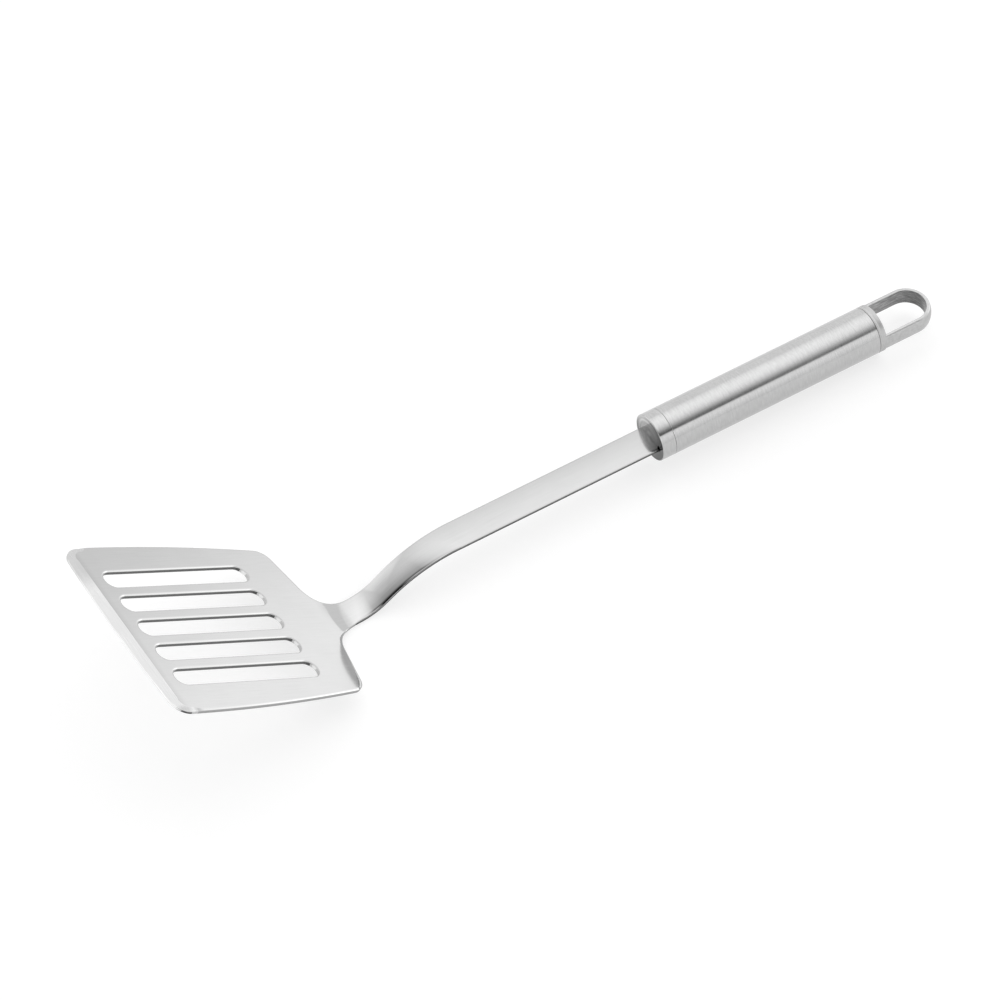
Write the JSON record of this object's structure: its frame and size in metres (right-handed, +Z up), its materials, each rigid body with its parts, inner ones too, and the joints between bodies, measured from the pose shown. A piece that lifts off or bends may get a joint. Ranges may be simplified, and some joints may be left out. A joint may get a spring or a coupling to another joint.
{
  "type": "slotted turner",
  "caption": "Flat slotted kitchen turner with a stamped steel blade, a bent flat shank and a round steel tube handle that ends in a hanging loop.",
  "frame": {"origin": "under the middle of the turner, on the table it lies on", "axes": "+X along the turner from the blade's front edge towards the hanging loop, +Y across the blade, +Z up from the table"},
  "size_m": [0.3488, 0.0852, 0.0588],
  "materials": {
    "blade_steel": "satin sheet with polished edges",
    "cap_steel": "fine turned",
    "tube_steel": "brushed round the tube",
    "loop_steel": "satin with a turned collar"
  },
  "bodies": {
    "root": {"turner_blade": "blade_steel", "front_cap": "cap_steel", "handle_tube": "tube_steel", "hanging_loop": "loop_steel"}
  },
  "joints": []
}
